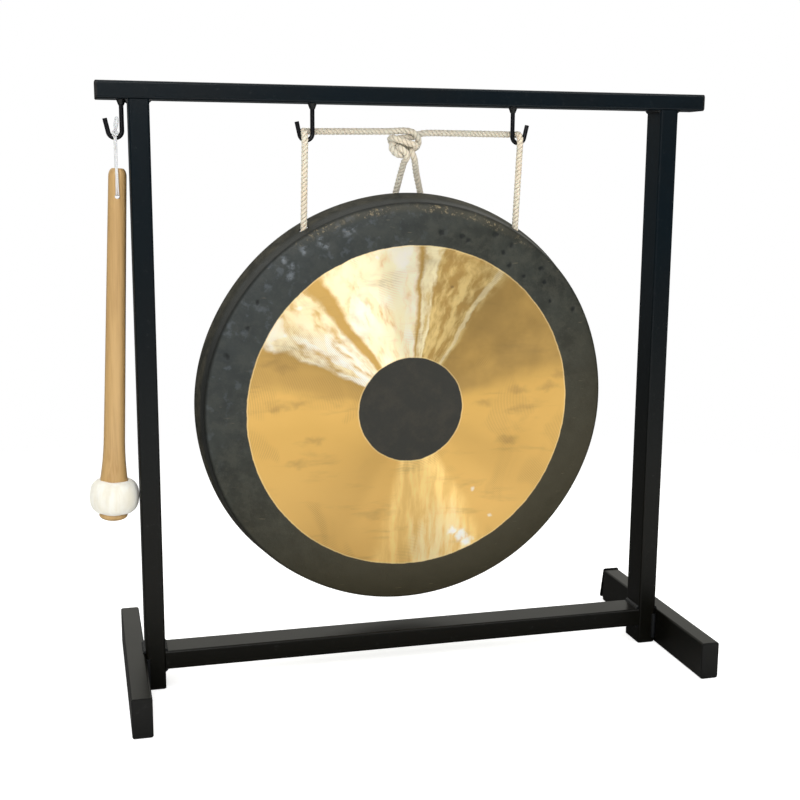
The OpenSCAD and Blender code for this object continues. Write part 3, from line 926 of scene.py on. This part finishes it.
def wood_material():
    """Varnished light hardwood, its grain along the handle."""
    f = Finish("varnished_wood")
    honey = (0.47, 0.28, 0.105, 1)
    straw = (0.60, 0.385, 0.165, 1)
    amber = (0.66, 0.425, 0.17, 1)
    dark_pore = (0.40, 0.22, 0.08, 1)
    grain = f.noise(1.0, 5, 0.6, vector=f.stretched((240, 240, 5)), distortion=1.2)
    pore = f.noise(1.0, 3, 0.6, vector=f.stretched((1500, 1500, 60)))
    cloud = f.noise(1.0, 2, 0.5, vector=f.stretched((60, 60, 14)))
    colour = f.mix(f.between(grain, 0.3, 0.72), honey, straw)
    colour = f.layer(colour, amber, f.between(cloud, 0.4, 0.75), 0.5)
    colour = f.layer(colour, dark_pore, f.between(pore, 0.62, 0.75), 0.35)
    return f.surface(Base_Color=colour, Roughness=0.42, Normal=f.bump(pore, 0.04), Coat_Weight=0.35,
                     Coat_Roughness=0.18, Specular_IOR_Level=0.4)


def wadding_material():
    f = Finish("cotton_wadding")
    lump = f.noise(260, 4, 0.7)
    colour = f.mix(f.between(lump, 0.4, 0.7), (0.80, 0.78, 0.72, 1), (0.90, 0.89, 0.86, 1))
    return f.surface(Base_Color=colour, Roughness=0.95, Normal=f.bump(lump, 0.6))


def make_cord():
    """The doubled string loop through the handle's hole and over the hook, with its tie and bow on top."""
    rod_up = ROD_Z - MALLET_HOLE[2]
    wrap = 3.35
    leg_y = 10.4
    rod_top = [0, 0, rod_up + wrap]
    over = arc_points([0, 0, rod_up], [0, -wrap, rod_up], rod_top, 6)
    back = arc_points([0, 0, rod_up], rod_top, [0, wrap, rod_up], 6)
    front_leg = np.array([(0, 0, 1.2), (0, -8, 1.4), (0, -leg_y, 2.6), (0, -leg_y, 10), (0, 0.3 - leg_y, 23),
                          (0, -6.5, 33)], float)
    rear_leg = front_leg[:0:-1] * (1, -1, 1)
    pieces = []
    for side in (-1, 1):
        path = np.vstack([front_leg, over, back[1:], rear_leg, front_leg[:1]])
        spread = np.interp(path[:, 2], [2, 30, rod_up], [0.95, 0.45, 0.8])
        path[:, 0] += side * spread
        path = soften(resample(path, 0.8), 6)[:-1] + MALLET_HOLE
        name = "string_loop_left" if side < 0 else "string_loop_right"
        pieces.append(sweep(name, path, CORD_R * 1.1, 2, CORD_LAY, around=16, closed=True))
    t = np.linspace(0, 2 * math.pi, 90, endpoint=False)
    reach = 2 + np.cos(3 * t)
    size = 0.95
    trefoil = np.stack([reach * np.cos(2 * t), np.sin(3 * t), reach * np.sin(2 * t)], axis=1)
    place = MALLET_HOLE + np.array([-0.2, -wrap - 0.6, rod_up + 4.0])
    pieces.append(sweep("string_tie", trefoil * size + place, CORD_R, 2, CORD_LAY, around=12, closed=True))
    lift = np.linspace(0, 1, 60)[:, None]
    ear = np.hstack([1.3 * np.sin(2 * math.pi * lift) + 2.0 * np.sin(math.pi * lift),
                     1.0 + 2.6 * lift * (1 - lift), 15 * np.sin(math.pi * lift)])
    pieces.append(sweep("string_bow", ear + place, CORD_R * 1.25, 2, CORD_LAY, around=12))
    for piece in pieces:
        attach(piece, "mallet_cord")
    for loop in pieces[:2]:
        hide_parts("mallet_cord")
    return pieces


# ---------------------------------------------------------------- stand

def paint(name, low, high, gloss):
    """Glossy black paint with a little orange peel and dust; low and high are its colours down and up, the
    shift between them a painted reflection.
    """
    f = Finish(name)
    cloud = f.noise(7, 4, 0.6)
    peel = f.noise(900, 2, 0.5)
    z = f.add("SeparateXYZ", {0: f.place}).outputs[2]
    # painted reflection: the colour shifts from low to high with height
    tone = f.mix(f.between(z, 0.10, 0.52), low, high)
    tone = f.layer(tone, grey(0.004), f.between(cloud, 0.4, 0.7), 0.35)
    tone = f.layer(tone, grey(0.25), f.patches(0.60, 0.78, 160, 4, 0.7), 0.05)
    return f.surface(Base_Color=tone, Roughness=f.scaled(cloud, 0.14, gloss), Normal=f.bump(peel, 0.05),
                     Coat_Weight=0.04, Coat_Roughness=gloss * 0.7, Specular_IOR_Level=0.16)


def weld_material():
    """Painted weld bead with the ripples of its run."""
    f = Finish("painted_weld")
    lump = f.noise(380, 3, 0.6)
    ripple = f.add("TexWave", {"Vector": f.place, "Scale": 260.0, "Distortion": 3.0, "Detail": 1.0},
                   bands_direction="Y").outputs["Fac"]
    normal = f.bump(ripple, 0.25)
    normal = f.bump(lump, 0.5, before=normal)
    return f.surface(Base_Color=(0.006, 0.007, 0.008, 1), Roughness=0.34, Normal=normal,
                     Specular_IOR_Level=0.35)


def cap_material():
    f = Finish("black_plastic")
    grain = f.noise(1500, 2, 0.5)
    scuff = f.patches(0.62, 0.75, 90, 4, 0.7)
    colour = f.layer((0.005, 0.005, 0.0045, 1), grey(0.07), scuff, 0.12)
    return f.surface(Base_Color=colour, Roughness=0.46, Normal=f.bump(grain, 0.04),
                     Specular_IOR_Level=0.25)


def make_cocked_cap():
    """The right foot's rear cap, which sits askew: its lower edge stands off the tube."""
    source = NODES["right_foot_rear_cap"]
    low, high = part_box("right_foot_rear_cap")
    cap = bpy.data.objects.new("cocked_foot_cap", source.data.copy())
    SCENE.collection.objects.link(cap)
    hinge = Vector(((low.x + high.x) / 2, high.y - 2 * MM, high.z))
    tilt = math.radians(12.5)
    lift = Vector((0, 0, 1.2 * MM))
    turn = Matrix.Rotation(tilt, 4, "X")
    cap.data.transform(Matrix.Translation(hinge + lift) @ turn @ Matrix.Translation(-hinge))
    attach(cap, "stand")
    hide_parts("right_foot_rear_cap")
    return cap


# ---------------------------------------------------------------- light, floor and camera

def soft_light(name, place, aim, width, height, power, colour):
    """A rectangular lamp, width by height in metres, that faces aim."""
    light = bpy.data.lights.new(name, "AREA")
    light.shape = "RECTANGLE"
    light.size = width
    light.size_y = height
    light.energy = power
    light.color = colour
    obj = bpy.data.objects.new(name, light)
    SCENE.collection.objects.link(obj)
    obj.location = place
    obj.rotation_mode = "QUATERNION"
    obj.rotation_quaternion = (Vector(aim) - Vector(place)).to_track_quat("-Z", "Y")
    return obj


def make_world():
    """White to the camera; to the surfaces, a room bright behind the object, dim in front and below."""
    dim_front = (0.105, 0.114, 0.12, 1)
    bright_back = (0.86, 0.85, 0.78, 1)
    world = bpy.data.worlds.new("studio")
    world.use_nodes = True
    SCENE.world = world
    n = Nodes(world.node_tree)
    n.tree.nodes.clear()
    direction = n.add("TexCoord").outputs["Generated"]
    _, y, z = n.add("SeparateXYZ", {0: direction}).outputs
    room = n.layer(dim_front, bright_back, n.between(y, -0.35, 0.55), n.between(z, 0.06, 0.24))
    seen = n.add("LightPath").outputs["Is Camera Ray"]
    shade = n.add("Background", {"Color": n.mix(seen, room, grey(1.0))})
    n.add("OutputWorld", {"Surface": shade.outputs[0]})


def make_floor():
    """A pale round floor that fades into the white background; shiny pieces mirror its rear half dark."""
    turns = 96
    floor_r = 2400
    angle = np.linspace(0, 2 * math.pi, turns, endpoint=False)
    ring = np.stack([floor_r * np.cos(angle), floor_r * np.sin(angle), -0.3 + 0 * angle], axis=1)
    floor = link_mesh("floor", ring, [tuple(range(turns))], smooth=False)
    f = Finish("pale_floor")
    ray = f.add("LightPath").outputs
    seen = ray["Is Camera Ray"]
    behind = f.between(f.add("SeparateXYZ", {0: f.place}).outputs[1], -0.35, 0.0)
    dull = f.times(behind, ray["Is Glossy Ray"], 0.9)
    tint = f.mix(f.patches(0.3, 0.7, 3, 2), grey(0.92), grey(0.94))
    f.surface(Base_Color=f.mix(dull, tint, grey(0.02)), Roughness=0.9, Specular_IOR_Level=0.05)
    f.surface(Emission_Color=grey(1.0), Emission_Strength=f.times(seen, 0.62))
    clear = f.add("BsdfTransparent").outputs[0]
    away = f.add("VectorMath", {0: f.place}, operation="LENGTH").outputs["Value"]
    fade = f.times(f.between(away, 0.55, 1.3), seen)
    blend = f.add("MixShader", {0: fade, 1: f.shader.outputs[0], 2: clear}).outputs[0]
    f.plug(f.tree.nodes["Material Output"].inputs["Surface"], blend)
    dress(floor, f.material)


def make_camera():
    """Where the player's photographer stands: left of the middle, above the gong, looking slightly down."""
    data = bpy.data.cameras.new("camera")
    data.lens = 55.27
    data.sensor_width = 36
    data.clip_start = 0.05
    data.clip_end = 50
    camera = bpy.data.objects.new("camera", data)
    SCENE.collection.objects.link(camera)
    yaw, pitch, roll = (math.radians(a) for a in (14.76, 10.47, 0.40))
    camera.location = (-0.33066, -1.24395, 0.53073)
    forward = Vector((math.sin(yaw) * math.cos(pitch), math.cos(yaw) * math.cos(pitch), -math.sin(pitch)))
    level = Vector((math.cos(yaw), -math.sin(yaw), 0))
    upright = level.cross(forward)
    right = math.cos(roll) * level + math.sin(roll) * upright
    up = -math.sin(roll) * level + math.cos(roll) * upright
    turn = Matrix((right, up, -forward)).transposed().to_4x4()
    camera.matrix_world = Matrix.Translation(camera.location) @ turn
    SCENE.camera = camera


# ---------------------------------------------------------------- the scene

gong = make_gong()
dress(gong, bronze())

rope = make_rope()
dress(rope, cotton("cotton_rope", (0.86, 0.79, 0.64, 1), (0.44, 0.38, 0.28, 1), 0.25))

string = cotton("white_string", (0.84, 0.85, 0.86, 1), (0.52, 0.54, 0.57, 1), 0.08)
for piece in make_cord():
    dress(piece, string)

dress(make_felt(), felt_material())
dress(NODES["mallet_handle"], wood_material())
dress(NODES["mallet_padding"], wadding_material())

# the frame's bluer, lighter high colour is a painted reflection
frame_paint = paint("frame_paint", (0.0038, 0.0036, 0.0022, 1), (0.0022, 0.0062, 0.0095, 1), gloss=0.24)
hook_paint = paint("hook_paint", (0.005, 0.005, 0.006, 1), (0.005, 0.005, 0.007, 1), gloss=0.28)
for name in ("top_bar", "left_upright", "right_upright", "lower_crossbar", "left_foot", "right_foot"):
    dress(NODES[name], frame_paint)
for name in ("gong_hook_left", "gong_hook_right", "mallet_hook"):
    dress(NODES[name], hook_paint)
weld = weld_material()
for name in ("frame_welds", "hook_welds"):
    dress(NODES[name], weld)
plastic = cap_material()
for name in NODES:
    if name.endswith("_cap") or "_cap_" in name:
        dress(NODES[name], plastic)
dress(make_cocked_cap(), plastic)

make_world()
make_floor()
make_camera()
aim = tuple(GONG_AXES.translation)
soft_light("key_softbox", (-0.85, -2.05, 1.45), aim, width=2.3, height=0.8, power=38,
           colour=(1.0, 0.99, 0.97))
soft_light("top_right_strip", (1.0, -1.55, 1.45), aim, width=0.5, height=0.8, power=7,
           colour=(1.0, 0.98, 0.95))
soft_light("overhead", (0.0, -0.2, 2.4), (0, 0, 0), width=2.6, height=2.0, power=25,
           colour=(0.98, 0.99, 1.0))
SCENE.view_settings.view_transform = "Standard"
